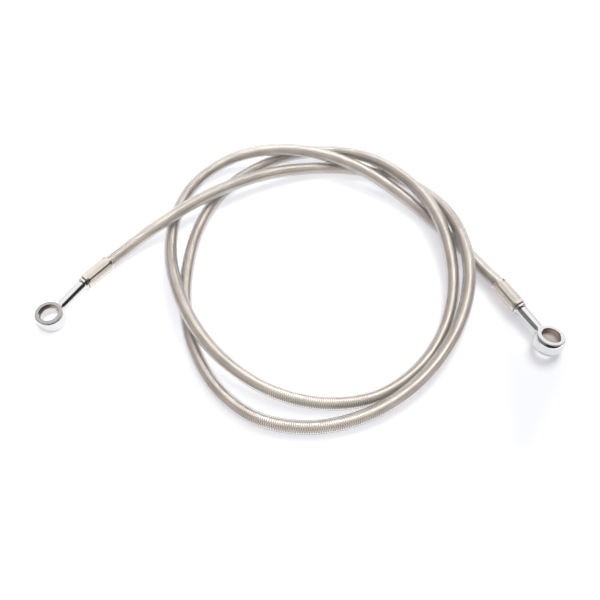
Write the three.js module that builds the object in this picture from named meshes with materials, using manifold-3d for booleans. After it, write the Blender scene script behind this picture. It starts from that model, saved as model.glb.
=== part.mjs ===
// Braided brake line with a banjo fitting crimped on each end, lying in a loose coil of
// two and a half turns. Millimetres, +Z up, origin on the table under the coil's centre.

import * as THREE from 'three';
import { mergeVertices } from 'three/addons/utils/BufferGeometryUtils.js';
import Module from 'manifold-3d';

const wasm = await Module();
wasm.setup();

// Hose: three tubes, one inside the other
const BORE_RADIUS = 1.6;
const LINER_WALL = 0.65;
const BRAID_WALL = 0.35;
const JACKET_WALL = 0.4;
const LAYER_GAP = 0.35;
const HOSE_SIDES = 10;
const HOSE_STEPS = 80;

// Ferrule: crimped sleeve that holds the hose on the fitting's tail
const FERRULE_LENGTH = 18.2;
const FERRULE_ROOT_RADIUS = 4.4;
const FERRULE_MOUTH_RADIUS = 4.4;
const FERRULE_EDGE = 0.35;
const FERRULE_BORE_CLEARANCE = 0.35;
const MOUTH_CLEARANCE = 0.35;
const MOUTH_DEPTH = 2;
const CRIMP_FLATS = 8;
const CRIMP_DEPTH = 0.22;
const CRIMP_ROOT_MARGIN = 1.2;
const CRIMP_MOUTH_MARGIN = 2.6;

// Gaps along the axis at the root of each ferrule
const FERRULE_TO_COLLAR = 0.3;
const HOSE_TO_COLLAR = 0.5;

// Banjo: ring, round neck, collar and ribbed tail in one piece
const RING_THICKNESS = 8.8;
const RING_FACE_RADIUS = 7.4;
const RING_BARREL_RADIUS = 8.25;
const RING_BORE_RADIUS = 5.1;
const RING_BORE_CHAMFER = 0.3;
const NECK_RING_RADIUS = 2.9;
const NECK_COLLAR_RADIUS = 3.2;
const NECK_FILLET = 1.3;
const NECK_FLARE_DEGREES = 31;
const COLLAR_RADIUS = 4.05;
const COLLAR_WIDTH = 1.8;
const COLLAR_EDGE = 0.5;
const TAIL_LENGTH = 13;
const TAIL_CLEARANCE = 0.35;
const TAIL_RIB_PITCH = 2.6;
const TAIL_RIB_DEPTH = 0.18;
const PASSAGE_RADIUS = 0.6;
const PASSAGE_OVERRUN = 1;

// Reach from the ring's middle to the collar's face, and the neck's bend in degrees
const LEFT_NECK_REACH = 27.65;
const RIGHT_NECK_REACH = 24.9;
const LEFT_NECK_BEND = 6.8;
const RIGHT_NECK_BEND = 0.5;

// The right ring is tipped on one edge. Its axis leans this far from upright, toward
// this direction in plan, which is measured from the tail; both are in degrees.
const RIGHT_RING_TILT = 14;
const RIGHT_RING_LEAN = -60.4;

// Facets round a turned piece
const RING_FACETS = 36;
const FERRULE_FACETS = 32;
const NECK_FACETS = 20;

// Heights of the fittings' axes: the left ring lies flat, the right one on its lower edge
const LEFT_AXIS_HEIGHT = RING_THICKNESS / 2;
const RIGHT_TILT_ANGLE = THREE.MathUtils.degToRad(RIGHT_RING_TILT);
const RIGHT_AXIS_HEIGHT = LEFT_AXIS_HEIGHT * Math.cos(RIGHT_TILT_ANGLE)
  + RING_FACE_RADIUS * Math.sin(RIGHT_TILT_ANGLE);

// Middle line of the hose from the left fitting to the right one, as x, y and height.
// The first three and the last three points lie on the ferrules' axes.
const ROUTE = [
  [-119.14, -7.27, LEFT_AXIS_HEIGHT], [-113.47, -0.28, LEFT_AXIS_HEIGHT],
  [-107.8, 6.71, LEFT_AXIS_HEIGHT],
  [-102, 13, 5], [-88, 24.6, 8.6], [-74.7, 34.1, 12.1], [-59.8, 46.9, 12],
  [-42.7, 58.9, 11.6], [-17.1, 72.8, 9], [9.8, 81.1, 5.4], [37.3, 81.5, 4],
  [63.6, 73.6, 4], [83.1, 55.5, 5.6], [93.6, 28, 11.3], [96.7, -0.6, 11.9],
  [91.6, -27.8, 9.8], [78.5, -54.3, 9.2], [60.1, -75.6, 8.1], [36.2, -90.2, 5.2],
  [8.6, -96.4, 3.8], [-18.8, -91.9, 3.8], [-39.9, -75.7, 3.8], [-54, -51.5, 3.8],
  [-61.1, -24.1, 3.8], [-62.3, 4.7, 3.8], [-58.2, 32.9, 3.8], [-48, 58.7, 3.8],
  [-30.1, 79.4, 3.8], [-5.7, 93.9, 3.9], [21.6, 95.8, 5.6], [46.8, 83.8, 10.9],
  [66.5, 65.5, 12.4], [80.6, 41.2, 12.3], [87.3, 13.3, 9.8], [86.8, -15, 6.8],
  [78.6, -41.5, 4.4], [62.7, -64.2, 3.9], [40, -79.6, 3.9], [12.9, -83.4, 4.6],
  [-14.1, -76.9, 7], [-37.7, -61, 9.8], [-55.2, -39.2, 11.8], [-66.8, -12.7, 10.4],
  [-73, 15.3, 4.9], [-72.7, 43.8, 3.8], [-62.7, 69.9, 4.4], [-42.1, 86.2, 8.2],
  [-14.4, 91.3, 11.7], [14.2, 86.8, 12.3], [40.2, 74.4, 11.2], [62.6, 57.8, 7.2],
  [81.7, 37.7, 4.2], [98.4, 14.9, 4], [107.4, -0.9, 5.4],
  [112.94, -9.41, RIGHT_AXIS_HEIGHT],
  [117.34, -17.37, RIGHT_AXIS_HEIGHT], [121.73, -25.34, RIGHT_AXIS_HEIGHT],
];

// Radii that follow from the layers
const LINER_RADIUS = BORE_RADIUS + LINER_WALL;
const BRAID_BORE = LINER_RADIUS + LAYER_GAP;
const BRAID_RADIUS = BRAID_BORE + BRAID_WALL;
const JACKET_BORE = BRAID_RADIUS + LAYER_GAP;
const JACKET_RADIUS = JACKET_BORE + JACKET_WALL;
const FERRULE_BORE = BRAID_RADIUS + FERRULE_BORE_CLEARANCE;
const MOUTH_BORE = JACKET_RADIUS + MOUTH_CLEARANCE;
const TAIL_RADIUS = BORE_RADIUS - TAIL_CLEARANCE;

// The clear jacket starts just past the step inside the ferrule's mouth
const MOUTH_STEP = FERRULE_LENGTH - MOUTH_DEPTH;
const JACKET_START = MOUTH_STEP + MOUTH_CLEARANCE - (HOSE_TO_COLLAR - FERRULE_TO_COLLAR);

const chrome = new THREE.MeshStandardMaterial({ color: 0xd9dadc, roughness: 0.12, metalness: 1 });
const satin = new THREE.MeshStandardMaterial({ color: 0xcfc4b6, roughness: 0.32, metalness: 1 });
const steel = new THREE.MeshStandardMaterial({ color: 0xb9aa98, roughness: 0.4, metalness: 1 });
const clear = new THREE.MeshStandardMaterial({ color: 0xe6e1dc, roughness: 0.1, metalness: 0 });
const white = new THREE.MeshStandardMaterial({ color: 0xf2f2ee, roughness: 0.5, metalness: 0 });

// One closed skin whose shared corners are merged, with only positions left
function weld(geometry) {
  const bare = geometry.index ? geometry.toNonIndexed() : geometry.clone();
  bare.deleteAttribute('normal');
  bare.deleteAttribute('uv');
  return mergeVertices(bare, 1e-4);
}

function signedVolume(geometry) {
  const p = geometry.attributes.position;
  const index = geometry.index.array;
  const corner = [new THREE.Vector3(), new THREE.Vector3(), new THREE.Vector3()];
  let sum = 0;
  for (let i = 0; i < index.length; i += 3) {
    corner.forEach((v, k) => v.fromBufferAttribute(p, index[i + k]));
    sum += corner[0].dot(corner[1].clone().cross(corner[2])) / 6;
  }
  return sum;
}

// Turns the faces over where they point in
function faceOut(geometry) {
  if (signedVolume(geometry) < 0) {
    const index = geometry.index.array;
    for (let i = 0; i < index.length; i += 3) {
      [index[i], index[i + 1]] = [index[i + 1], index[i]];
    }
  }
  return geometry;
}

function toSolid(geometry) {
  const skin = faceOut(weld(geometry));
  const vertProperties = new Float32Array(skin.attributes.position.array);
  const triVerts = new Uint32Array(skin.index.array);
  return new wasm.Manifold(new wasm.Mesh({ numProp: 3, vertProperties, triVerts }));
}

function toGeometry(solid) {
  const mesh = solid.getMesh();
  const geometry = new THREE.BufferGeometry();
  geometry.setAttribute('position', new THREE.BufferAttribute(mesh.vertProperties, 3));
  geometry.setIndex(new THREE.BufferAttribute(mesh.triVerts, 1));
  geometry.computeVertexNormals();
  return geometry;
}

// Follows a longer curve so that even steps fall on the given shares of its length
class Stretch extends THREE.Curve {
  constructor(path, shares) {
    super();
    this.path = path;
    this.shares = shares;
  }

  getPoint(t, target = new THREE.Vector3()) {
    const step = t * (this.shares.length - 1);
    const i = Math.min(Math.floor(step), this.shares.length - 2);
    const share = THREE.MathUtils.lerp(this.shares[i], this.shares[i + 1], step - i);
    return this.path.getPointAt(share, target);
  }

  getUtoTmapping(u) {
    return u;
  }
}

const route = new THREE.CatmullRomCurve3(ROUTE.map((p) => new THREE.Vector3(...p)));
route.arcLengthDivisions = 4000;

function polygon(Kind, radius) {
  const outline = new Kind();
  for (let i = 0; i <= HOSE_SIDES; i += 1) {
    const angle = (2 * Math.PI * i) / HOSE_SIDES;
    const place = [radius * Math.cos(angle), radius * Math.sin(angle)];
    if (i === 0) outline.moveTo(...place);
    else outline.lineTo(...place);
  }
  return outline;
}

// Where a layer that starts this far from the hose's end has its stations, as shares of
// the hose's length; all but the outer two are common to every layer
function stations(start) {
  const from = start / route.getLength();
  const first = Math.round(from * HOSE_STEPS);
  const count = HOSE_STEPS - 2 * first + 1;
  const shares = Array.from({ length: count }, (_, i) => (first + i) / HOSE_STEPS);
  shares[0] = from;
  shares[count - 1] = 1 - from;
  return shares;
}

// One layer of the hose, left short of both of its ends by a distance
function hoseLayer(inner, outer, start) {
  const section = polygon(THREE.Shape, outer);
  section.holes.push(polygon(THREE.Path, inner));
  const shares = stations(start);
  const steps = shares.length - 1;
  const extrudePath = new Stretch(route, shares);
  const tube = new THREE.ExtrudeGeometry(section, { steps, extrudePath, bevelEnabled: false });
  const skin = faceOut(weld(tube));
  skin.computeVertexNormals();
  return skin;
}

// Turned piece from a closed outline of [radius, height], standing along +Z
function turned(outline, facets) {
  const points = outline.map(([r, z]) => new THREE.Vector2(r, z));
  const lathe = new THREE.LatheGeometry(points, facets);
  return lathe.rotateX(Math.PI / 2);
}

function arc(centre, radius, from, to, steps) {
  return Array.from({ length: steps + 1 }, (_, i) => {
    const angle = from + ((to - from) * i) / steps;
    return [centre[0] + radius * Math.cos(angle), centre[1] + radius * Math.sin(angle)];
  });
}

// Sleeve from its root at height 0 to its mouth, with eight flats pressed into it
function ferruleGeometry() {
  const outline = [
    [FERRULE_BORE, 0],
    [FERRULE_ROOT_RADIUS - FERRULE_EDGE, 0],
    [FERRULE_ROOT_RADIUS, FERRULE_EDGE],
    [FERRULE_MOUTH_RADIUS, FERRULE_LENGTH - FERRULE_EDGE / 2],
    [FERRULE_MOUTH_RADIUS - FERRULE_EDGE / 2, FERRULE_LENGTH],
    [MOUTH_BORE, FERRULE_LENGTH],
    [MOUTH_BORE, MOUTH_STEP],
    [FERRULE_BORE, MOUTH_STEP],
    [FERRULE_BORE, 0],
  ];
  let sleeve = toSolid(turned(outline, FERRULE_FACETS));
  const crimpLength = FERRULE_LENGTH - CRIMP_ROOT_MARGIN - CRIMP_MOUTH_MARGIN;
  const crimpMiddle = CRIMP_ROOT_MARGIN + crimpLength / 2;
  const flatDistance = FERRULE_MOUTH_RADIUS - CRIMP_DEPTH;
  const dieThickness = FERRULE_ROOT_RADIUS;
  for (let i = 0; i < CRIMP_FLATS; i += 1) {
    const die = new THREE.BoxGeometry(dieThickness, 2 * FERRULE_ROOT_RADIUS, crimpLength);
    die.translate(flatDistance + dieThickness / 2, 0, crimpMiddle);
    die.rotateZ((2 * Math.PI * (i + 0.5)) / CRIMP_FLATS);
    sleeve = sleeve.subtract(toSolid(die));
  }
  return toGeometry(sleeve);
}

// Ring with a barrel side, centred on the origin with its axis along Z
function ringSolid() {
  const half = RING_THICKNESS / 2;
  const bulge = RING_BARREL_RADIUS - RING_FACE_RADIUS;
  const barrelArc = (half * half + bulge * bulge) / (2 * bulge);
  const centre = [RING_BARREL_RADIUS - barrelArc, 0];
  const swing = Math.asin(half / barrelArc);
  const chamferRadius = RING_BORE_RADIUS + RING_BORE_CHAMFER;
  const outline = [
    [RING_BORE_RADIUS, half - RING_BORE_CHAMFER],
    [RING_BORE_RADIUS, RING_BORE_CHAMFER - half],
    [chamferRadius, -half],
    ...arc(centre, barrelArc, -swing, swing, 8),
    [chamferRadius, half],
    [RING_BORE_RADIUS, half - RING_BORE_CHAMFER],
  ];
  return toSolid(turned(outline, RING_FACETS));
}

// Neck along +Z from inside the ring's wall to the collar, flared where it leaves the ring
function neckSolid(reach) {
  const start = (RING_BORE_RADIUS + RING_FACE_RADIUS) / 2;
  const flareEnd = RING_BARREL_RADIUS + NECK_FILLET;
  const end = reach - COLLAR_WIDTH;
  const flareMiddle = [NECK_RING_RADIUS + NECK_FILLET, flareEnd];
  const flareFrom = THREE.MathUtils.degToRad(NECK_FLARE_DEGREES) - Math.PI;
  const flare = arc(flareMiddle, NECK_FILLET, flareFrom, -Math.PI, 3);
  const outline = [
    [0, start],
    [flare[0][0], start],
    ...flare,
    [NECK_COLLAR_RADIUS, end],
    [0, end],
  ];
  return toSolid(turned(outline, NECK_FACETS));
}

// Collar and ribbed tail along +Z; the collar's flat face is at height 0
function collarSolid() {
  const rib = TAIL_RADIUS - TAIL_RIB_DEPTH;
  const ribs = [];
  for (let z = TAIL_RIB_PITCH; z < TAIL_LENGTH - TAIL_RIB_PITCH / 2; z += TAIL_RIB_PITCH) {
    ribs.push([TAIL_RADIUS, z], [rib, z]);
  }
  const outline = [
    [0, -COLLAR_WIDTH - COLLAR_EDGE],
    [NECK_COLLAR_RADIUS, -COLLAR_WIDTH - COLLAR_EDGE],
    [COLLAR_RADIUS - COLLAR_EDGE, -COLLAR_WIDTH],
    [COLLAR_RADIUS, -COLLAR_WIDTH + COLLAR_EDGE],
    [COLLAR_RADIUS, -COLLAR_EDGE],
    [COLLAR_RADIUS - COLLAR_EDGE, 0],
    [rib, 0],
    ...ribs,
    [rib, TAIL_LENGTH],
    [0, TAIL_LENGTH],
  ];
  return toSolid(turned(outline, NECK_FACETS));
}

function rod(radius, from, to) {
  const shape = new THREE.CylinderGeometry(radius, radius, to - from, 12);
  return shape.rotateX(Math.PI / 2).translate(0, 0, (from + to) / 2);
}

// Fitting with its collar's face at the origin and its tail along +X; without a tilt the
// ring lies flat, and with one its axis leans toward the given direction
function banjoGeometry({ reach, bend, tilt, lean }) {
  const bendAngle = THREE.MathUtils.degToRad(bend);
  const leanAngle = THREE.MathUtils.degToRad(lean);
  const alongTail = new THREE.Matrix4().makeRotationY(Math.PI / 2);
  const alongNeck = new THREE.Matrix4().makeRotationZ(bendAngle).multiply(alongTail);
  const ringMiddle = new THREE.Vector3(0, 0, -reach).applyMatrix4(alongNeck);
  const neckPlace = alongNeck.clone().setPosition(ringMiddle);
  const hinge = new THREE.Vector3(-Math.sin(leanAngle), Math.cos(leanAngle), 0);
  const ringPlace = new THREE.Matrix4().makeRotationAxis(hinge, tilt).setPosition(ringMiddle);

  const ring = ringSolid().transform(ringPlace.elements);
  const neck = neckSolid(reach).transform(neckPlace.elements);
  const collar = collarSolid().transform(alongTail.elements);
  const neckPassage = toSolid(rod(PASSAGE_RADIUS, 0, reach)).transform(neckPlace.elements);
  const tailEnd = TAIL_LENGTH + PASSAGE_OVERRUN;
  const tailPassage = toSolid(rod(PASSAGE_RADIUS, -PASSAGE_RADIUS / 2, tailEnd));
  const passage = neckPassage.add(tailPassage.transform(alongTail.elements));
  return toGeometry(ring.add(neck).add(collar).subtract(passage));
}

// Places a fitting or ferrule at one end of the route, looking along the hose
function placeAtEnd(mesh, end, inner, offset) {
  const along = inner.clone().sub(end).normalize();
  mesh.position.copy(end).addScaledVector(along, offset);
  mesh.rotation.z = Math.atan2(along.y, along.x);
  return mesh;
}

function named(name, geometry, material) {
  const mesh = new THREE.Mesh(geometry, material);
  mesh.name = name;
  return mesh;
}

const brakeLine = new THREE.Group();

brakeLine.add(named('hose_liner', hoseLayer(BORE_RADIUS, LINER_RADIUS, 0), white));
brakeLine.add(named('hose_braid', hoseLayer(BRAID_BORE, BRAID_RADIUS, 0), steel));
brakeLine.add(named('hose_jacket', hoseLayer(JACKET_BORE, JACKET_RADIUS, JACKET_START), clear));

const points = route.points;
const leftBanjo = { reach: LEFT_NECK_REACH, bend: LEFT_NECK_BEND, tilt: 0, lean: 0 };
const rightBanjo = {
  reach: RIGHT_NECK_REACH,
  bend: RIGHT_NECK_BEND,
  tilt: RIGHT_TILT_ANGLE,
  lean: RIGHT_RING_LEAN,
};
const ends = [
  { side: 'left', end: points[0], inner: points[2], shape: leftBanjo },
  { side: 'right', end: points.at(-1), inner: points.at(-3), shape: rightBanjo },
];
for (const { side, end, inner, shape } of ends) {
  const ferrule = named(`${side}_ferrule`, ferruleGeometry().rotateY(Math.PI / 2), satin);
  brakeLine.add(placeAtEnd(ferrule, end, inner, FERRULE_TO_COLLAR - HOSE_TO_COLLAR));
  const banjo = named(`${side}_banjo`, banjoGeometry(shape), chrome);
  brakeLine.add(placeAtEnd(banjo, end, inner, -HOSE_TO_COLLAR));
}

export default brakeLine;
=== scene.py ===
import math

import bpy
import numpy as np
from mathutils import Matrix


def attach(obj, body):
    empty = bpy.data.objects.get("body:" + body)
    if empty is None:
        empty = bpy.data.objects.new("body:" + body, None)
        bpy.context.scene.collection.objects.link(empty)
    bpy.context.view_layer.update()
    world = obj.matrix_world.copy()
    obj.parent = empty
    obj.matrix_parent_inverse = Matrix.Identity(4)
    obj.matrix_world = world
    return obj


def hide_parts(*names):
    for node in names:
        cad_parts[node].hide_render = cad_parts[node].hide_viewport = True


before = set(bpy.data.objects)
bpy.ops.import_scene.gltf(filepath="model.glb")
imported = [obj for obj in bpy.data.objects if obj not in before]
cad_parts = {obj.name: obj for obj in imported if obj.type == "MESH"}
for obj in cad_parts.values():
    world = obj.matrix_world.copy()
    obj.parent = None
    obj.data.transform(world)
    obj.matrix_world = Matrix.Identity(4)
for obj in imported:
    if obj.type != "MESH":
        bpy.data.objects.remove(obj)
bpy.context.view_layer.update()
print("loaded", len(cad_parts), "solids")


# Camera: in front of the coil, looking down on it

cameraView = {
    "place": (0.00222, -0.25723, 0.3432),
    "tiltDegrees": 35.0,  # 0 looks straight down
    "lensMm": 44.76,
    "sensorMm": 36.0,
    "shift": (-0.5 / 600, 0.5 / 600),  # half a pixel of the frame to the right and down
}

cameraData = bpy.data.cameras.new("viewCamera")
cameraData.lens = cameraView["lensMm"]
cameraData.sensor_width = cameraView["sensorMm"]
cameraData.shift_x, cameraData.shift_y = cameraView["shift"]
camera = bpy.data.objects.new("viewCamera", cameraData)
camera.location = cameraView["place"]
camera.rotation_euler = (math.radians(cameraView["tiltDegrees"]), 0, 0)
bpy.context.scene.collection.objects.link(camera)
bpy.context.scene.camera = camera
print("camera set")


# Surfaces

# Length of every row of an array of vectors, kept as a column.
def lengths(vectors):
    return np.linalg.norm(vectors, axis=-1, keepdims=True)


# Smooth curve through points, twenty places to a span. Each span is the cubic that meets its two
# points with slopes taken from the neighbours, weighed by the square roots of their distances.
def splineThrough(points, perSpan=20):
    chain = np.vstack([2 * points[0] - points[1], points, 2 * points[-1] - points[-2]])
    knot = np.sqrt(lengths(np.diff(chain, axis=0)))
    before, here, after, beyond = chain[:-3], chain[1:-2], chain[2:-1], chain[3:]
    first, middle, last = knot[:-2], knot[1:-1], knot[2:]
    slopeIn = ((here - before) / first - (after - before) / (first + middle)
               + (after - here) / middle) * middle
    slopeOut = ((after - here) / middle - (beyond - here) / (middle + last)
                + (beyond - after) / last) * middle
    t = np.linspace(0, 1, perSpan, endpoint=False)[None, :, None]
    here, after, slopeIn, slopeOut = (a[:, None, :] for a in (here, after, slopeIn, slopeOut))
    curve = ((2 * t**3 - 3 * t**2 + 1) * here + (t**3 - 2 * t**2 + t) * slopeIn
             + (3 * t**2 - 2 * t**3) * after + (t**3 - t**2) * slopeOut)
    return np.vstack([curve.reshape(-1, 3), points[-1]])


# The stretch of a curve between two distances along it, cut into equal steps.
def evenStretch(curve, start, end, steps):
    along = np.concatenate([[0], np.cumsum(lengths(np.diff(curve, axis=0)))])
    places = np.linspace(start, end, steps + 1)
    return np.stack([np.interp(places, along, curve[:, k]) for k in range(3)], axis=1), places


# Directions across a path: one level, and one square to it and to the path.
def acrossPath(path):
    ahead = np.gradient(path, axis=0)
    ahead /= lengths(ahead)
    level = np.cross((0, 0, 1), ahead)
    level /= lengths(level)
    return level, np.cross(ahead, level)


# Rings round a path: place + radius * (cos(angle) * level + sin(angle) * rising).
def ringsRound(path, radius, sides):
    level, rising = acrossPath(path)
    angle = np.linspace(0, 2 * np.pi, sides, endpoint=False)
    radius = np.broadcast_to(radius, (len(path), sides))
    cosine, sine = np.cos(angle)[None, :, None], np.sin(angle)[None, :, None]
    spoke = cosine * level[:, None, :] + sine * rising[:, None, :]
    return path[:, None, :] + radius[:, :, None] * spoke


sharpDegrees = 35  # edges that turn by more than this are drawn sharp


# Piece from a grid of points whose columns close into rings. The rows close too (a tube with a
# wall, a ring), or else both ends get a flat cap. Its own map holds the distance along each row
# in metres and the share of the turn.
def gridPiece(name, grid, alongRows, closeRows):
    rows, columns = grid.shape[:2]
    row = np.arange(rows if closeRows else rows - 1)[:, None]
    column = np.arange(columns)[None, :]
    nextRow, nextColumn = (row + 1) % rows, (column + 1) % columns
    faces = np.stack([row * columns + column, row * columns + nextColumn,
                      nextRow * columns + nextColumn, nextRow * columns + column], axis=-1)
    faces = faces.reshape(-1, 4)
    corners = grid.reshape(-1, 3)
    a, b, c, d = (corners[faces[:, k]] for k in range(4))
    facing = np.einsum("ij,ij->i", (a + b + c + d) / 4, np.cross(c - a, d - b)).sum()
    turned = facing < 0
    if turned:
        faces = faces[:, ::-1]

    far = np.broadcast_to((column + 1) / columns, (len(row), columns))
    near = np.broadcast_to(column / columns, far.shape)
    alongRows = np.asarray(alongRows, float)
    start = np.broadcast_to(alongRows[row], far.shape)
    end = np.broadcast_to(alongRows[nextRow], far.shape)
    distances = np.stack([start, start, end, end], axis=-1)
    turns = np.stack([near, far, far, near], axis=-1)
    wrap = np.stack([distances, turns], axis=-1).reshape(-1, 4, 2)
    if turned:
        wrap = wrap[:, ::-1]
    wrap = wrap.reshape(-1, 2)

    polygons = faces.tolist()
    if not closeRows:
        caps = [list(range(columns))[::-1], list(range((rows - 1) * columns, rows * columns))]
        polygons += [cap[::-1] for cap in caps] if turned else caps
        wrap = np.vstack([wrap, np.zeros((2 * columns, 2))])
    mesh = bpy.data.meshes.new(name)
    mesh.from_pydata(corners.tolist(), [], polygons)
    mesh.uv_layers.new(name="wrap").data.foreach_set("uv", wrap.astype(np.float32).ravel())
    mesh.polygons.foreach_set("use_smooth", np.ones(len(polygons), bool))
    mesh.set_sharp_from_angle(angle=math.radians(sharpDegrees))
    mesh.validate()
    piece = bpy.data.objects.new(name, mesh)
    bpy.context.scene.collection.objects.link(piece)
    return piece


# Closed tube with a wall: rings of the outer radius one way along the path and of the inner radius
# back again.
def walledTube(name, path, along, outer, inner, sides):
    grid = np.vstack([ringsRound(path, outer, sides), ringsRound(path, inner, sides)[::-1]])
    return gridPiece(name, grid, np.concatenate([along, along[::-1]]), closeRows=True)


# Arc of a circle in a profile, from one angle to another, both in degrees.
def arcPoints(centre, radius, fromDegrees, toDegrees, steps):
    angle = np.radians(np.linspace(fromDegrees, toDegrees, steps + 1))
    return np.array(centre) + radius * np.stack([np.cos(angle), np.sin(angle)], axis=1)


# Hose route: middle line from the left fitting to the right one, in metres

hoseRoute = np.array([
    (-0.11914, -0.00727, 0.0044), (-0.11347, -0.00028, 0.0044), (-0.1078, 0.00671, 0.0044),
    (-0.102, 0.013, 0.005), (-0.088, 0.0246, 0.0086), (-0.0747, 0.0341, 0.0121),
    (-0.0598, 0.0469, 0.012), (-0.0427, 0.0589, 0.0116), (-0.0171, 0.0728, 0.009),
    (0.0098, 0.0811, 0.0054), (0.0373, 0.0815, 0.004), (0.0636, 0.0736, 0.004),
    (0.0831, 0.0555, 0.0056), (0.0936, 0.028, 0.0113), (0.0967, -0.0006, 0.0119),
    (0.0916, -0.0278, 0.0098), (0.0785, -0.0543, 0.0092), (0.0601, -0.0756, 0.0081),
    (0.0362, -0.0902, 0.0052), (0.0086, -0.0964, 0.0038), (-0.0188, -0.0919, 0.0038),
    (-0.0399, -0.0757, 0.0038), (-0.054, -0.0515, 0.0038), (-0.0611, -0.0241, 0.0038),
    (-0.0623, 0.0047, 0.0038), (-0.0582, 0.0329, 0.0038), (-0.048, 0.0587, 0.0038),
    (-0.0301, 0.0794, 0.0038), (-0.0057, 0.0939, 0.0039), (0.0216, 0.0958, 0.0056),
    (0.0468, 0.0838, 0.0109), (0.0665, 0.0655, 0.0124), (0.0806, 0.0412, 0.0123),
    (0.0873, 0.0133, 0.0098), (0.0868, -0.015, 0.0068), (0.0786, -0.0415, 0.0044),
    (0.0627, -0.0642, 0.0039), (0.04, -0.0796, 0.0039), (0.0129, -0.0834, 0.0046),
    (-0.0141, -0.0769, 0.007), (-0.0377, -0.061, 0.0098), (-0.0552, -0.0392, 0.0118),
    (-0.0668, -0.0127, 0.0104), (-0.073, 0.0153, 0.0049), (-0.0727, 0.0438, 0.0038),
    (-0.0627, 0.0699, 0.0044), (-0.0421, 0.0862, 0.0082), (-0.0144, 0.0913, 0.0117),
    (0.0142, 0.0868, 0.0123), (0.0402, 0.0744, 0.0112), (0.0626, 0.0578, 0.0072),
    (0.0817, 0.0377, 0.0042), (0.0984, 0.0149, 0.004), (0.1074, -0.0009, 0.0054),
    (0.11294, -0.00941, 0.006059), (0.11734, -0.01737, 0.006059), (0.12173, -0.02534, 0.006059),
])
hoseCurve = splineThrough(hoseRoute)
hoseLength = float(lengths(np.diff(hoseCurve, axis=0)).sum())


# Hose: smooth liner, woven wire braid, clear sleeve

hoseLayers = {
    "linerBore": 0.0016,
    "linerRadius": 0.00225,
    "braidBore": 0.0026,
    "braidRadius": 0.00295,
    "sleeveBore": 0.0033,
    "sleeveRadius": 0.0037,
    "sleeveStrip": 0.01635,  # sleeve left off at each end, inside the ferrule
    "steps": 760,
    "sides": 30,
    "linerSteps": 360,
    "linerSides": 16,
}

sleeveStart = hoseLayers["sleeveStrip"]
sleevePath, sleeveAlong = evenStretch(hoseCurve, sleeveStart, hoseLength - sleeveStart,
                                      hoseLayers["steps"])
sleeve = walledTube("clear_sleeve", sleevePath, sleeveAlong, hoseLayers["sleeveRadius"],
                    hoseLayers["sleeveBore"], hoseLayers["sides"])
braidPath, braidAlong = evenStretch(hoseCurve, 0, hoseLength, hoseLayers["steps"])
braid = walledTube("wire_braid", braidPath, braidAlong, hoseLayers["braidRadius"],
                   hoseLayers["braidBore"], hoseLayers["sides"])
linerPath, linerAlong = evenStretch(hoseCurve, 0, hoseLength, hoseLayers["linerSteps"])
liner = walledTube("inner_liner", linerPath, linerAlong, hoseLayers["linerRadius"],
                   hoseLayers["linerBore"], hoseLayers["linerSides"])
print("hose laid,", round(hoseLength, 4), "m between the collars")


# Ferrules: crimped sleeves with eight pressed flats

ferruleShape = {
    "length": 0.0182,
    "rootRadius": 0.0044,
    "mouthRadius": 0.0044,
    "edge": 0.00035,
    "mouthEdge": 0.000315,
    "mouthEdgeEnd": 10,  # degrees at which its arc ends
    "bore": 0.0033,
    "mouthBore": 0.0038,
    "mouthBevel": (0.0001, 0.00003),  # length and height of the bevel at the mouth's bore
    "mouthDepth": 0.002,
    "flats": 8,
    "flatDepth": 0.00022,
    "flatTurnDegrees": 22.5,
    "rootMargin": 0.0012,
    "mouthMargin": 0.0008,
    "flatRunOut": 0.001,  # length over which a flat fades into the round ends
    "backset": 0.0002,  # root behind the hose's end
    "bodySteps": 60,
    "edgeSteps": 5,
    "sides": 96,
}


# Closed outline of the sleeve as rows of (distance from the root, radius), outside first.
def ferruleOutline(shape):
    root, mouth, edge, length = (shape[k] for k in ("rootRadius", "mouthRadius", "edge", "length"))
    rootEdge = arcPoints((edge, root - edge), edge, 180, 90, shape["edgeSteps"])
    body = np.linspace(edge, length - edge, shape["bodySteps"])
    body = np.stack([body, np.interp(body, [edge, length - edge], [root, mouth])], axis=1)[1:-1]
    corner = shape["mouthEdge"]
    mouthEdge = arcPoints((length - edge, mouth - corner), corner, 90, shape["mouthEdgeEnd"],
                          shape["edgeSteps"])
    mouthBore, step = shape["mouthBore"], length - shape["mouthDepth"]
    bevelLength, bevelHeight = shape["mouthBevel"]
    inside = np.array([
        (length, mouthBore + bevelHeight), (length - bevelLength, mouthBore),
        (step, mouthBore), (step, shape["bore"]), (0, shape["bore"])])
    return np.vstack([rootEdge, body, mouthEdge, inside])


# Radius round each ring of the outline: the outline's own, cut down to a flat's distance over the
# cosine of the angle from its middle, as far as the press reaches along the sleeve.
def pressFlats(outline, shape):
    angle = np.linspace(0, 2 * np.pi, shape["sides"], endpoint=False)
    step = 2 * np.pi / shape["flats"]
    offset = (angle - math.radians(shape["flatTurnDegrees"]) + step / 2) % step - step / 2
    flat = (shape["mouthRadius"] - shape["flatDepth"]) / np.cos(offset)
    along, radius = outline[:, :1], outline[:, 1:]
    ramp = np.minimum(along - shape["rootMargin"], shape["length"] - shape["mouthMargin"] - along)
    press = np.clip(ramp / shape["flatRunOut"], 0, 1)
    press = press * press * (3 - 2 * press) * (radius > shape["mouthRadius"] - shape["edge"])
    return radius + press * np.minimum(0, flat[None, :] - radius)


# Unit spokes round level directions: cos(angle) * the level direction square to each, plus
# sin(angle) * upright.
def levelSpokes(ahead, sides):
    angle = np.linspace(0, 2 * np.pi, sides, endpoint=False)[None, :, None]
    level = np.cross((0, 0, 1), np.atleast_2d(ahead))[:, None, :]
    return np.cos(angle) * level + np.sin(angle) * np.array((0, 0, 1.0))


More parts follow.
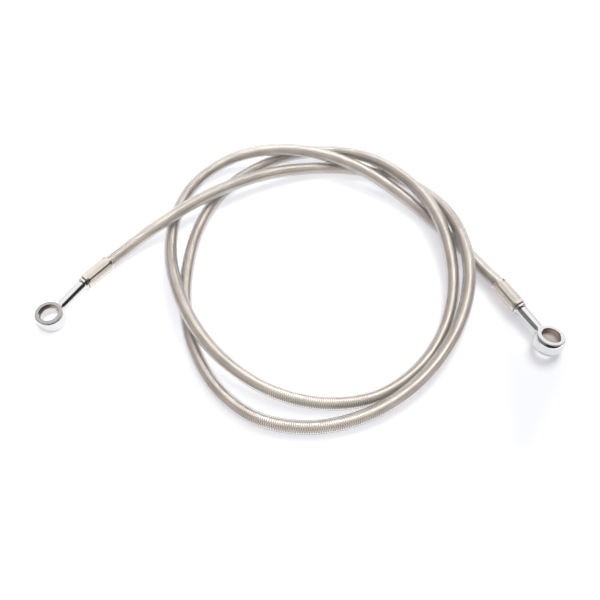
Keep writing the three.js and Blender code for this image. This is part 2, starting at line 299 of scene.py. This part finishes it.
# The pressed outline turned round the ferrule's axis.
def makeFerrule(name, end, ahead, shape):
    outline = ferruleOutline(shape)
    path = end + (outline[:, :1] - shape["backset"]) * ahead
    spoke = levelSpokes(ahead, shape["sides"])
    grid = path[:, None, :] + pressFlats(outline, shape)[:, :, None] * spoke
    return gridPiece(name, grid, outline[:, 0], closeRows=True)


# Banjo fittings: ring, flared neck, collar and ribbed tail in one piece

banjoShape = {
    "ringHalf": 0.0044,
    "faceRadius": 0.0074,
    "barrelRadius": 0.00825,
    "barrelPower": 3.2,  # 2 is an arc, and more is flatter in its middle
    "boreRadius": 0.0051,
    "boreChamfer": 0.0003,
    "faceEdge": 0.00045,
    "neckAtRing": 0.0029,
    "neckAtCollar": 0.0032,
    "neckSteps": 24,
    "neckSink": 0.00005,  # depth below the barrel at which the flare starts
    "neckStart": (0.0064, 0.0002),  # distance of its flat end, and how far it narrows up to there
    "fillet": 0.0013,
    "filletSteps": 10,
    "filletShort": 2,  # degrees by which the flare stops short of the barrel's circle
    "collarRadius": 0.00405,
    "collarWidth": 0.0018,
    "collarEdge": 0.0005,
    "collarFoot": (0.00055, 0.00065),  # drop from the rim to the rear face and to the front one
    "collarArc": (150, 20),  # degrees at which the rear edge's arc starts and the front one's ends
    "collarSteps": 4,
    "collarGap": 0.0005,  # collar's face to the hose's end
    "bendLength": 0.004,  # stretch before the collar in which the neck turns into the tail
    "bendGap": 0.0002,  # from the end of that stretch to the collar's face
    "tailRadius": 0.00125,
    "tailStart": 0.00005,
    "tailRib": 0.00018,
    "ribWidth": 0.0001,
    "ribPitch": 0.0026,
    "tailLength": 0.013,
    "passageRadius": 0.0006,
    "passageStart": 0.001,
    "passageReach": 0.5,  # share of the way from the ring's centre to the collar's face
    "passageSides": 24,
    "ringSides": 144,
    "faceSteps": 4,
    "faceEdgeSteps": 6,
    "barrelSteps": 37,
    "boreSteps": 6,
    "neckSides": 64,
    "sharpDegrees": 28,
}


# Ring turned round its axis from a closed outline of (radius, height): chamfered bore, flat faces
# with soft edges, and a barrel side that stands out by 1 less a power of the height's share.
def makeRing(name, centre, axis, shape):
    half, edge, face = shape["ringHalf"], shape["faceEdge"], shape["faceRadius"]
    barrel, bore, chamfer = shape["barrelRadius"], shape["boreRadius"], shape["boreChamfer"]
    power, foot, bulge = shape["barrelPower"], half - edge, barrel - face
    slope = math.degrees(math.atan(bulge * power / foot))
    top = arcPoints((face - edge * math.cos(math.radians(slope)), foot), edge, 90, slope,
                    shape["faceEdgeSteps"])
    heights = foot * np.cos(np.linspace(0, np.pi, shape["barrelSteps"] + 1))[1:-1]
    barrelLine = np.stack([barrel - bulge * np.abs(heights / foot) ** power, heights], axis=1)
    boreLine = np.linspace(chamfer - half, half - chamfer, shape["boreSteps"] + 1)
    boreLine = np.stack([np.full_like(boreLine, bore), boreLine], axis=1)
    faceLine = np.linspace(bore + chamfer, face - edge, shape["faceSteps"] + 1)[:-1]
    faceLine = np.stack([faceLine, np.full_like(faceLine, half)], axis=1)
    upper = np.vstack([faceLine, top])
    outline = np.vstack([upper, barrelLine, (upper * (1, -1))[::-1], boreLine])
    angle = np.linspace(0, 2 * np.pi, shape["ringSides"], endpoint=False)[None, :, None]
    radius, height = outline[:, :1, None], outline[:, 1:, None]
    side = np.cross(axis, (1, 0, 0))
    side /= np.linalg.norm(side)
    spoke = np.cos(angle) * np.cross(side, axis) + np.sin(angle) * side
    grid = centre + radius * spoke + height * axis
    along = np.concatenate([[0], np.cumsum(lengths(np.diff(outline, axis=0)))])
    return gridPiece(name, grid, along, closeRows=True)


# Rows of (distance from the ring's centre, radius) for the neck, collar and tail. The flare is an
# arc that touches the neck and a circle of the barrel's radius, and it stops a little short of that
# circle. The tail's ribs rise slowly and drop at once.
def neckOutline(shape, reach):
    fillet, ring, collar = shape["fillet"], shape["neckAtRing"], shape["collarRadius"]
    ball = shape["barrelRadius"] - shape["neckSink"]
    filletAt = math.sqrt((ball + fillet) ** 2 - (ring + fillet) ** 2)
    meet = math.degrees(math.asin(filletAt / (ball + fillet)))
    flare = arcPoints((filletAt, ring + fillet), fillet, 270 + shape["filletShort"] - meet, 270,
                      shape["filletSteps"])
    start, narrowing = shape["neckStart"]

    back, edge = reach - shape["collarWidth"], shape["collarEdge"]
    neck = np.linspace(filletAt, back - edge, shape["neckSteps"])[1:]
    radii = np.interp(neck, [filletAt, neck[-1]], [ring, shape["neckAtCollar"]])
    rear, front = shape["collarFoot"]
    rearDegrees, frontDegrees = shape["collarArc"]
    steps = shape["collarSteps"]
    band = np.vstack([
        (back, collar - rear),
        arcPoints((back + edge, collar - edge), edge, rearDegrees, 90, steps),
        arcPoints((reach - edge, collar - edge), edge, 90, frontDegrees, steps),
        (reach, collar - front)])

    tail, pitch, end = shape["tailRadius"], shape["ribPitch"], shape["tailLength"]
    low = tail - shape["tailRib"]
    ribs = [row for crest in reach + np.arange(pitch, end - pitch / 2, pitch)
            for row in ((crest, tail), (crest + shape["ribWidth"], low))]
    return np.vstack([
        (start, flare[0][1] - narrowing), flare, np.stack([neck, radii], axis=1), band,
        (reach + shape["tailStart"], low), ribs, (reach + end, low)])


# Round bar along a path that runs straight from the ring and turns into the tail's direction over
# a short stretch before the collar: a Bezier of the second degree between the two straights.
# Gives the places at the distances, and each one's share of the turn.
def bentPath(ringCentre, heading, ahead, distances, turnStart, turnLength):
    corner = ringCentre + heading * (turnStart + turnLength / 2)
    start = corner - heading * turnLength / 2
    end = corner + ahead * turnLength / 2
    share = np.clip((distances - turnStart) / turnLength, 0, 1)
    turn = (1 - share) ** 2 * start + 2 * share * (1 - share) * corner + share**2 * end
    before = np.minimum(distances - turnStart, 0) * heading
    beyond = np.maximum(distances - turnStart - turnLength, 0) * ahead
    return turn + before + beyond, share


# The piece with another united to it or cut out of it, and the other one gone.
def combine(piece, other, operation):
    cut = piece.modifiers.new(operation.lower(), "BOOLEAN")
    cut.operation = operation
    cut.solver = "EXACT"
    cut.object = other
    bpy.context.view_layer.update()
    whole = piece.evaluated_get(bpy.context.evaluated_depsgraph_get())
    mesh = bpy.data.meshes.new_from_object(whole)
    piece.modifiers.clear()
    piece.data = mesh
    bpy.data.objects.remove(other)


# The fitting: the neck's outline is carried along its path and united with the ring, and then the
# passage is drilled from the ring's bore. Its rings turn from the neck's heading to the tail's.
def makeBanjo(name, ringCentre, axis, face, ahead, shape):
    ring = makeRing(name, ringCentre, axis, shape)
    reach = np.linalg.norm(face - ringCentre)
    heading = (face - ringCentre) / reach
    outline = neckOutline(shape, reach)
    bend = shape["bendLength"]
    turnStart = reach - bend - shape["bendGap"]
    path, share = bentPath(ringCentre, heading, ahead, outline[:, :1], turnStart, bend)
    along = heading * (1 - share) + ahead * share
    along /= lengths(along)
    spoke = levelSpokes(along, shape["neckSides"])
    grid = path[:, None, :] + outline[:, 1:, None] * spoke
    neck = gridPiece(name + "_neck", grid, outline[:, 0], closeRows=False)
    combine(ring, neck, "UNION")

    places = np.array([[shape["passageStart"]], [reach * shape["passageReach"]]])
    drill = ringsRound(ringCentre + heading * places, shape["passageRadius"], shape["passageSides"])
    combine(ring, gridPiece(name + "_hole", drill, [0, 1], closeRows=False), "DIFFERENCE")
    ring.data.polygons.foreach_set("use_smooth", np.ones(len(ring.data.polygons), bool))
    ring.data.set_sharp_from_angle(angle=math.radians(shape["sharpDegrees"]))
    return ring


# The right ring is tipped on its edge: its axis leans from upright, toward a direction in plan that
# is measured from the tail.
fittingPlaces = {
    "left": {"end": hoseRoute[0], "inner": hoseRoute[2], "reach": 0.02765,
             "neckBendDegrees": 6.8, "tiltDegrees": 0.0, "leanDegrees": 0.0},
    "right": {"end": hoseRoute[-1], "inner": hoseRoute[-3], "reach": 0.0249,
              "neckBendDegrees": 0.5, "tiltDegrees": 14.0, "leanDegrees": -60.4},
}
ferrules, banjos = {}, {}


# A level direction turned by degrees, seen from above.
def turnedLevel(direction, degrees):
    turn = math.atan2(direction[1], direction[0]) + math.radians(degrees)
    return np.array((math.cos(turn), math.sin(turn), 0.0))


for side, place in fittingPlaces.items():
    ahead = place["inner"] - place["end"]
    ahead /= np.linalg.norm(ahead)
    face = place["end"] - ahead * banjoShape["collarGap"]
    ringCentre = face - turnedLevel(ahead, place["neckBendDegrees"]) * place["reach"]
    tilt = math.radians(place["tiltDegrees"])
    lean = turnedLevel(ahead, place["leanDegrees"])
    axis = lean * math.sin(tilt) + np.array((0, 0, math.cos(tilt)))
    place["ringCentre"], place["ringAxis"] = ringCentre, axis
    ferrules[side] = makeFerrule(side + "_crimped_ferrule", place["end"], ahead, ferruleShape)
    banjos[side] = makeBanjo(side + "_banjo_fitting", ringCentre, axis, face, ahead, banjoShape)
    print(side, "ring centre", np.round(ringCentre * 1000, 3).tolist(),
          "faces", len(banjos[side].data.polygons))


# Finishes

# A new material with its node tree and its Principled shader.
def newFinish(name):
    material = bpy.data.materials.new(name)
    material.use_nodes = True
    return material, material.node_tree, material.node_tree.nodes["Principled BSDF"]


# A node with its settings; an input given as a socket is linked, and any other is a value.
def addNode(tree, kind, inputs=None, **settings):
    node = tree.nodes.new(kind)
    for key, value in settings.items():
        setattr(node, key, value)
    for key, value in (inputs or {}).items():
        if isinstance(value, bpy.types.NodeSocket):
            tree.links.new(value, node.inputs[key])
        else:
            node.inputs[key].default_value = value
    return node


# One sum of a Math node.
def calc(tree, operation, *values):
    return addNode(tree, "ShaderNodeMath", dict(enumerate(values)), operation=operation).outputs[0]


def vectorCalc(tree, operation, inputs):
    return addNode(tree, "ShaderNodeVectorMath", inputs, operation=operation)


# A value carried from one span to another, and held at the ends.
def rescale(tree, value, fromSpan, toSpan=(0.0, 1.0)):
    inputs = {"Value": value, "From Min": fromSpan[0], "From Max": fromSpan[1],
              "To Min": toSpan[0], "To Max": toSpan[1]}
    return addNode(tree, "ShaderNodeMapRange", inputs).outputs["Result"]


def mixValues(tree, share, first, second):
    return addNode(tree, "ShaderNodeMix", {0: share, 2: first, 3: second}).outputs[0]


def mixColours(tree, share, first, second):
    node = addNode(tree, "ShaderNodeMix", {0: share, 6: first, 7: second}, data_type="RGBA")
    return node.outputs[2]


def objectPlace(tree):
    return addNode(tree, "ShaderNodeTexCoord").outputs["Object"]


def noise(tree, place, scale, detail=2.0):
    inputs = {"Vector": place, "Scale": scale, "Detail": detail}
    return addNode(tree, "ShaderNodeTexNoise", inputs).outputs[0]


def bump(tree, height, distance):
    inputs = {"Height": height, "Distance": distance}
    return addNode(tree, "ShaderNodeBump", inputs).outputs["Normal"]


# Both parts of a span moved by the same value.
def around(value, span):
    return value + span[0], value + span[1]


weave = {
    "carriers": 4,  # bands each way round the hose
    "crossing": 0.00112,  # metres along the hose from one crossing to the next
    "wires": 5,  # wires side by side in a band
    # painted shade: the gaps between the bands are darkened in colour
    "paintedGapShade": (0.20, 0.145, 0.11, 1),
    # painted light and shade: the left set is painted lighter and the right set darker, though both
    # are the same steel
    "litLeftSetColour": (1.0, 0.945, 0.88, 1),
    "shadedRightSetColour": (0.80, 0.725, 0.655, 1),
    "gapShadeSpan": (0.1, 0.75),  # crown heights from the painted gap shade to the full colour
    "patchScale": 90.0,
    "patchSpan": (0.35, 0.65),
    "patchLight": (0.86, 1.04),
    "lineShare": 0.12,  # height of a wire's line beside a band's
    "metal": 0.6,
    "roughness": 0.36,
    "roughnessSpread": (-0.05, 0.08),
    "height": 0.00014,
}


# How high a band stands across its width, from its share of the band: 1 less the cube of the
# distance from its middle.
def bandCrown(tree, share):
    middle = calc(tree, "MULTIPLY_ADD", share, 2.0, -1.0)
    return calc(tree, "SUBTRACT", 1.0, calc(tree, "POWER", calc(tree, "ABSOLUTE", middle), 3.0))


# Two sets of bands wind round the hose, one each way. Where the sum of their numbers is even the
# left set is on top, and elsewhere the right one. Gives the height, the share of the upper band and
# which set is on top.
def weavePattern(tree, values):
    wrap = addNode(tree, "ShaderNodeUVMap", uv_map="wrap").outputs["UV"]
    split = addNode(tree, "ShaderNodeSeparateXYZ", {"Vector": wrap})
    along = calc(tree, "DIVIDE", split.outputs["X"], values["crossing"])
    turn = calc(tree, "MULTIPLY", split.outputs["Y"], float(values["carriers"]))
    left, right = calc(tree, "ADD", along, turn), calc(tree, "SUBTRACT", along, turn)
    numbers = calc(tree, "ADD", calc(tree, "FLOOR", left), calc(tree, "FLOOR", right))
    onTop = calc(tree, "FLOORED_MODULO", numbers, 2.0)
    leftShare, rightShare = calc(tree, "FRACT", left), calc(tree, "FRACT", right)
    crown = calc(tree, "MULTIPLY", bandCrown(tree, leftShare), bandCrown(tree, rightShare))
    return crown, mixValues(tree, onTop, leftShare, rightShare), onTop


def braidFinish(values):
    material, tree, shader = newFinish("woven_wire")
    crown, across, onTop = weavePattern(tree, values)
    lines = calc(tree, "SINE", calc(tree, "MULTIPLY", across, 2 * math.pi * values["wires"]))
    # painted light and shade: where a set is on top it takes its own colour, the left one lighter
    # and the right one darker
    setLightAndShade = mixColours(tree, onTop, values["litLeftSetColour"], values["shadedRightSetColour"])
    # painted shade: the colour sinks toward the dark gap colour where a band's crown falls away
    colour = mixColours(tree, rescale(tree, crown, values["gapShadeSpan"]), values["paintedGapShade"], setLightAndShade)
    cloud = noise(tree, objectPlace(tree), values["patchScale"])
    patches = rescale(tree, cloud, values["patchSpan"], values["patchLight"])
    shade = addNode(tree, "ShaderNodeHueSaturation", {"Color": colour, "Value": patches}).outputs[0]
    height = calc(tree, "MULTIPLY_ADD", lines, values["lineShare"], crown)
    rough = rescale(tree, lines, (-1, 1), around(values["roughness"], values["roughnessSpread"]))
    tree.links.new(shade, shader.inputs["Base Color"])
    tree.links.new(bump(tree, height, values["height"]), shader.inputs["Normal"])
    tree.links.new(rough, shader.inputs["Roughness"])
    shader.inputs["Metallic"].default_value = values["metal"]
    return material


sleeveLook = {
    "colour": (0.97, 0.96, 0.945, 1),
    "index": 1.45,
    "hazeScale": 140.0,
    "hazeSpan": (0.3, 0.7),
    "roughness": (0.03, 0.09),
    "ripple": 0.00004,
}


# Clear plastic that has settled on the braid and carries a faint print of it.
def sleeveFinish(values):
    material, tree, shader = newFinish("clear_plastic")
    crown = weavePattern(tree, weave)[0]
    haze = noise(tree, objectPlace(tree), values["hazeScale"], detail=3.0)
    shader.inputs["Base Color"].default_value = values["colour"]
    shader.inputs["Transmission Weight"].default_value = 1.0
    shader.inputs["IOR"].default_value = values["index"]
    tree.links.new(rescale(tree, haze, values["hazeSpan"], values["roughness"]),
                   shader.inputs["Roughness"])
    tree.links.new(bump(tree, crown, values["ripple"]), shader.inputs["Normal"])
    return material


linerLook = {
    "colour": (0.93, 0.93, 0.91, 1),
    "shade": (0.86, 0.86, 0.84, 1),
    "cloudScale": 200.0,
    "roughness": 0.45,
}


def linerFinish(values):
    material, tree, shader = newFinish("white_liner")
    cloud = noise(tree, objectPlace(tree), values["cloudScale"])
    colour = mixColours(tree, cloud, values["shade"], values["colour"])
    tree.links.new(colour, shader.inputs["Base Color"])
    shader.inputs["Roughness"].default_value = values["roughness"]
    return material


ferruleLook = {
    "colour": (0.985, 0.905, 0.815, 1),
    "worn": (0.92, 0.835, 0.74, 1),
    "wornScale": 260.0,
    "wornSpan": (0.35, 0.7),
    "roughness": 0.29,
    "roughnessSpread": (-0.05, 0.07),
    "grain": 0.000006,
    "grainScale": (160.0, 90.0, 1.0),  # to the metre along the piece, and to the turn
    "grainSpan": (0.3, 0.7),
}


# Satin metal with fine marks along its length, drawn on the piece's own map.
def ferruleFinish(values):
    material, tree, shader = newFinish("satin_nickel")
    wrap = addNode(tree, "ShaderNodeUVMap", uv_map="wrap").outputs["UV"]
    stretched = addNode(tree, "ShaderNodeMapping", {"Vector": wrap, "Scale": values["grainScale"]})
    marks = noise(tree, stretched.outputs[0], scale=1.0, detail=4.0)
    cloud = noise(tree, objectPlace(tree), values["wornScale"], detail=3.0)
    wear = rescale(tree, cloud, values["wornSpan"])
    colour = mixColours(tree, wear, values["colour"], values["worn"])
    spread = around(values["roughness"], values["roughnessSpread"])
    tree.links.new(colour, shader.inputs["Base Color"])
    tree.links.new(rescale(tree, marks, values["grainSpan"], spread), shader.inputs["Roughness"])
    tree.links.new(bump(tree, marks, values["grain"]), shader.inputs["Normal"])
    shader.inputs["Metallic"].default_value = 1.0
    return material


# Both fittings have one finish. Their faces and bores differ in colour only as painted light and
# shade: the left face is a darker grey than the right one, and the left bore is near white, like
# the floor it reflects, where the right one is brown-grey.
banjoLooks = {
    "left": {"colour": (0.90, 0.895, 0.89, 1), "faceColour": (0.56, 0.55, 0.53, 1),
             "boreColour": (0.97, 0.96, 0.95, 1), "tarnishShadeColour": (0.10, 0.065, 0.04, 1),
             "glintColour": (0.60, 0.40, 0.20, 1), "tarnishShadeFoot": 0.0004,
             "faceRoughness": 0.32, "sideRoughness": 0.05},
    "right": {"colour": (0.90, 0.90, 0.895, 1), "faceColour": (0.84, 0.84, 0.85, 1),
              "boreColour": (0.66, 0.60, 0.53, 1), "tarnishShadeColour": (0.17, 0.14, 0.115, 1),
             "glintColour": (0.45, 0.36, 0.27, 1), "tarnishShadeFoot": -0.0006,
             "faceRoughness": 0.16, "sideRoughness": 0.05},
}
banjoMarks = {
    "fade": 0.0001,  # width over which one finish goes over into another
    "markScale": 900.0,
    "markSpan": (0.3, 0.7),
    "markRoughness": (-0.01, 0.03),
    "turningPitch": 0.00022,  # from one turned circle to the next
    "turningHeight": 0.15,
    "height": 0.0000015,
    "boreRoughness": 0.12,
    "cloudScale": 180.0,
    "cloudShade": 0.95,
    "tarnishShadeScale": 320.0,
    "tarnishShadeWander": 0.0012,  # how far the edge of the tarnished, shaded band goes up and down
    "tarnishShadeSpan": (0.0006, 0.0022),  # above its foot, from bare metal to the full tarnished band with painted shade
    "glintSpan": (-0.001, 0.003),  # across the bore, from brown to the painted golden highlight
}


# How far a place is from the ring's axis, its height along that axis from the middle, and how far
# it is to the right of the middle.
def ringPlace(tree, place, centre, axis):
    centre, axis = tuple(centre), tuple(axis)
    offset = vectorCalc(tree, "SUBTRACT", {0: place, 1: centre}).outputs[0]
    height = vectorCalc(tree, "DOT_PRODUCT", {0: offset, 1: axis}).outputs["Value"]
    rise = vectorCalc(tree, "SCALE", {0: axis, "Scale": height}).outputs[0]
    level = vectorCalc(tree, "SUBTRACT", {0: offset, 1: rise}).outputs[0]
    radius = vectorCalc(tree, "LENGTH", {0: level}).outputs["Value"]
    return radius, height, addNode(tree, "ShaderNodeSeparateXYZ", {"Vector": offset}).outputs["X"]


# Polished metal. The ring's flat faces carry fine turning marks, circles round its axis. The upper
# part of its bore is tarnished and darkened with painted shade, brown on the left, and on the right
# it carries a painted golden highlight; the rest is bare.
def banjoFinish(side, values, marking, shape, centre, axis):
    material, tree, shader = newFinish(side + "_polished_steel")
    place = objectPlace(tree)
    radius, height, right = ringPlace(tree, place, centre, axis)
    fade, bore = marking["fade"], shape["boreRadius"]
    inRing = rescale(tree, radius, around(shape["barrelRadius"], (0, fade)), (1.0, 0.0))
    rise = calc(tree, "ABSOLUTE", height)
    raised = rescale(tree, rise, around(shape["ringHalf"], (-1.2 * fade, -0.2 * fade)))
    onFace = calc(tree, "MULTIPLY", inRing, raised)
    inBore = rescale(tree, radius, around(bore, (0.2 * fade, fade)), (1.0, 0.0))

    marks = noise(tree, place, marking["markScale"], detail=4.0)
    circles = calc(tree, "MULTIPLY", radius, 2 * math.pi / marking["turningPitch"])
    turning = calc(tree, "MULTIPLY", calc(tree, "SINE", circles), onFace)
    turning = calc(tree, "MULTIPLY", turning, marking["turningHeight"])
    dull = rescale(tree, onFace, (0.0, 1.0), (values["sideRoughness"], values["faceRoughness"]))
    dull = calc(tree, "MAXIMUM", dull, calc(tree, "MULTIPLY", inBore, marking["boreRoughness"]))
    rough = rescale(tree, marks, marking["markSpan"], marking["markRoughness"])
    rough = calc(tree, "ADD", dull, rough)
    relief = bump(tree, calc(tree, "ADD", marks, turning), marking["height"])
    tree.links.new(rough, shader.inputs["Roughness"])
    tree.links.new(relief, shader.inputs["Normal"])

    cloud = rescale(tree, noise(tree, place, marking["cloudScale"]), marking["markSpan"])
    darker = tuple(marking["cloudShade"] * c for c in values["colour"][:3]) + (1,)
    colour = mixColours(tree, cloud, values["colour"], darker)
    # painted light and shade: each fitting's face gets its own grey
    colour = mixColours(tree, onFace, colour, values["faceColour"])
    wander = noise(tree, place, marking["tarnishShadeScale"], detail=3.0)
    edge = calc(tree, "MULTIPLY_ADD", wander, marking["tarnishShadeWander"], height)
    # painted shade: the upper bore darkens to brown, partly tarnish and partly shade painted in
    tarnishShade = rescale(tree, edge, around(values["tarnishShadeFoot"], marking["tarnishShadeSpan"]))
    # painted highlight: toward the bore's right side the band turns golden, as where light catches
    # it
    glintShare = rescale(tree, right, marking["glintSpan"])
    tarnishShadeAndGlint = mixColours(tree, glintShare, values["tarnishShadeColour"], values["glintColour"])
    wall = mixColours(tree, tarnishShade, values["boreColour"], tarnishShadeAndGlint)
    tree.links.new(mixColours(tree, inBore, colour, wall), shader.inputs["Base Color"])
    shader.inputs["Metallic"].default_value = 1.0
    return material


sleeve.data.materials.append(sleeveFinish(sleeveLook))
braid.data.materials.append(braidFinish(weave))
liner.data.materials.append(linerFinish(linerLook))
satin = ferruleFinish(ferruleLook)
for side, place in fittingPlaces.items():
    ferrules[side].data.materials.append(satin)
    finish = banjoFinish(side, banjoLooks[side], banjoMarks, banjoShape, place["ringCentre"],
                         place["ringAxis"])
    banjos[side].data.materials.clear()
    banjos[side].data.materials.append(finish)
print("finishes made")


# How the pieces stand for the solids

standsFor = [(sleeve, "hose_jacket", "clear_sleeve"), (braid, "hose_braid", "braid_steel"),
             (liner, "hose_liner", "liner")]
for side in fittingPlaces:
    standsFor.append((ferrules[side], side + "_ferrule", "ferrule_steel"))
    standsFor.append((banjos[side], side + "_banjo", "banjo_chrome"))
for piece, node, slot in standsFor:
    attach(piece, "root")
    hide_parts(node)


# Floor, lamps and surroundings

studio = {
    "floorReach": 6.0,
    "floorLevel": -0.0002,
    "floorColour": (0.78, 0.78, 0.80, 1),
    "floorRoughness": 0.9,
    "floorShine": 0.1,
    "glowColour": (0.955, 0.965, 1.0, 1),
    # painted light: the floor's glow falls from the left end across the coil to the right
    "endGlow": 0.79,  # under the left ring
    "endSpan": (-0.122, -0.1),  # places from the end's glow to the left one
    "leftGlow": 0.72,
    "rightGlow": 0.44,
    "glowSpan": (0.06, 0.115),  # places from the left glow to the right one
    "farGlow": (0.15, 0.24),  # distances from the middle over which the floor turns fully white
    "mirroredGlow": 0.7,  # share of the glow that polished metal shows
    "worldStrength": 0.45,
    "mirrorStrength": 1.0,
    "sleeveStrength": 1.45,  # what reaches the braid through its sleeve
    "sleeveWallLevel": 0.68,  # least light of the walls there
    "leftWallTop": 72.0,  # degrees above the floor up to which the room's near walls are dark
    "rightWallTop": 66.0,
    "wallTopSpan": (-0.35, 0.0),  # X of the bearing, from the left top to the right one
    "wallTopEdge": (-7.0, 7.0),  # degrees over which a wall's top fades into the bright ceiling
    "farSpan": (0.45, 0.84),  # Y of the bearing over which the walls sink away
    "farDrop": 8.0,  # degrees below the floor at which they end
    "leftWallLevel": 0.2,
    "wallLevel": 0.03,
    "wallLevelSpan": (-0.9, -0.3),  # X of the bearing, from the left level to the other
    "footSpan": (2.0, 8.0),  # degrees over which the dark foot of the walls is lifted
    "keyPower": 5.0,
    "keyPlace": (0.38, 0.42, 0.9),
    "keySize": 0.5,
    "overheadPower": 1.5,
    "overheadPlace": (0.05, 0.02, 1.0),
    "overheadSize": 0.55,
}


# 1 for rays from the camera or through clear plastic, a share for a mirror's, and 0 for the rest.
def seenRays(tree, mirrored):
    path = addNode(tree, "ShaderNodeLightPath")
    seen = calc(tree, "MULTIPLY", path.outputs["Is Glossy Ray"], mirrored)
    seen = calc(tree, "MAXIMUM", path.outputs["Is Camera Ray"], seen)
    return calc(tree, "MAXIMUM", seen, path.outputs["Is Transmission Ray"])


# Pale floor. For the camera it glows to white, and less so near the object and on its right, where
# the shadows show. This glow is painted light: it is brightest at the left end under the left ring
# and weakest on the right, and its faint blue shows in the shadows.
def makeFloor(values):
    mesh = bpy.data.meshes.new("floor")
    reach, level = values["floorReach"], values["floorLevel"]
    corners = [(x * reach, y * reach, level) for x, y in ((-1, -1), (1, -1), (1, 1), (-1, 1))]
    mesh.from_pydata(corners, [], [(0, 1, 2, 3)])
    floor = bpy.data.objects.new("floor", mesh)
    bpy.context.scene.collection.objects.link(floor)
    material, tree, shader = newFinish("pale_floor")
    shader.inputs["Base Color"].default_value = values["floorColour"]
    shader.inputs["Roughness"].default_value = values["floorRoughness"]
    shader.inputs["Specular IOR Level"].default_value = values["floorShine"]
    shader.inputs["Emission Color"].default_value = values["glowColour"]
    place = objectPlace(tree)
    across = addNode(tree, "ShaderNodeSeparateXYZ", {"Vector": place}).outputs["X"]
    # painted light: the glow changes from left to right along X
    glow = rescale(tree, across, values["glowSpan"], (values["leftGlow"], values["rightGlow"]))
    end = rescale(tree, across, values["endSpan"], (1.0, 0.0))
    glow = mixValues(tree, end, glow, values["endGlow"])
    distance = vectorCalc(tree, "LENGTH", {0: place}).outputs["Value"]
    glow = mixValues(tree, rescale(tree, distance, values["farGlow"]), glow, 1.0)
    glow = calc(tree, "MULTIPLY", seenRays(tree, values["mirroredGlow"]), glow)
    tree.links.new(glow, shader.inputs["Emission Strength"])
    mesh.materials.append(material)


# Round lamp turned toward the middle of the floor, and not seen in metal.
def makeLamp(name, place, size, power):
    light = bpy.data.lights.new(name, "AREA")
    light.shape = "DISK"
    light.size = size
    light.energy = power
    lamp = bpy.data.objects.new(name, light)
    lamp.location = place
    lamp.visible_glossy = False
    away = np.array(place) / np.linalg.norm(place)
    lamp.rotation_euler = (math.acos(away[2]), 0, math.atan2(away[1], away[0]) + math.pi / 2)
    bpy.context.scene.collection.objects.link(lamp)


# White for the camera. Elsewhere it is a bright room whose walls beside and behind the camera are
# dark up to a height in degrees, so that polished metal shows light and dark bands. The wall on the
# far side is bright, and the left one is grey. Through the sleeve the room is brighter and its
# walls are softer, as clear plastic evens out the light on the braid.
def makeWorld(values):
    world = bpy.data.worlds.new("room")
    world.use_nodes = True
    bpy.context.scene.world = world
    tree = world.node_tree
    background = tree.nodes["Background"]
    direction = addNode(tree, "ShaderNodeTexCoord").outputs["Generated"]
    split = addNode(tree, "ShaderNodeSeparateXYZ", {"Vector": direction})
    level = vectorCalc(tree, "MULTIPLY", {0: direction, 1: (1, 1, 0)}).outputs[0]
    bearing = vectorCalc(tree, "NORMALIZE", {0: level}).outputs[0]
    bearing = addNode(tree, "ShaderNodeSeparateXYZ", {"Vector": bearing})
    degrees = calc(tree, "MULTIPLY", calc(tree, "ARCSINE", split.outputs["Z"]), 180 / math.pi)
    tops = (values["leftWallTop"], values["rightWallTop"])
    top = rescale(tree, bearing.outputs["X"], values["wallTopSpan"], tops)
    far = rescale(tree, bearing.outputs["Y"], values["farSpan"])
    drop = calc(tree, "MULTIPLY", far, calc(tree, "ADD", top, values["farDrop"]))
    above = calc(tree, "SUBTRACT", degrees, calc(tree, "SUBTRACT", top, drop))
    bright = rescale(tree, above, values["wallTopEdge"])
    levels = (values["leftWallLevel"], values["wallLevel"])
    wall = rescale(tree, bearing.outputs["X"], values["wallLevelSpan"], levels)
    foot = rescale(tree, degrees, values["footSpan"], (values["wallLevel"], 1.0))
    shade = mixValues(tree, bright, calc(tree, "MINIMUM", wall, foot), 1.0)

    path = addNode(tree, "ShaderNodeLightPath")
    seen, through = path.outputs["Is Camera Ray"], path.outputs["Is Transmission Ray"]
    plain = calc(tree, "MULTIPLY", through, values["sleeveWallLevel"])
    shade = calc(tree, "MAXIMUM", shade, calc(tree, "MAXIMUM", seen, plain))
    grey = addNode(tree, "ShaderNodeCombineColor", {0: shade, 1: shade, 2: shade}).outputs[0]
    tree.links.new(grey, background.inputs["Color"])
    mirror = path.outputs["Is Glossy Ray"]
    strength = mixValues(tree, mirror, values["worldStrength"], values["mirrorStrength"])
    strength = mixValues(tree, through, strength, values["sleeveStrength"])
    strength = mixValues(tree, seen, strength, 1.0)
    tree.links.new(strength, background.inputs["Strength"])


makeFloor(studio)
makeLamp("keyLamp", studio["keyPlace"], studio["keySize"], studio["keyPower"])
makeLamp("overheadLamp", studio["overheadPlace"], studio["overheadSize"], studio["overheadPower"])
makeWorld(studio)
bpy.context.scene.view_settings.view_transform = "Standard"
print("studio set")
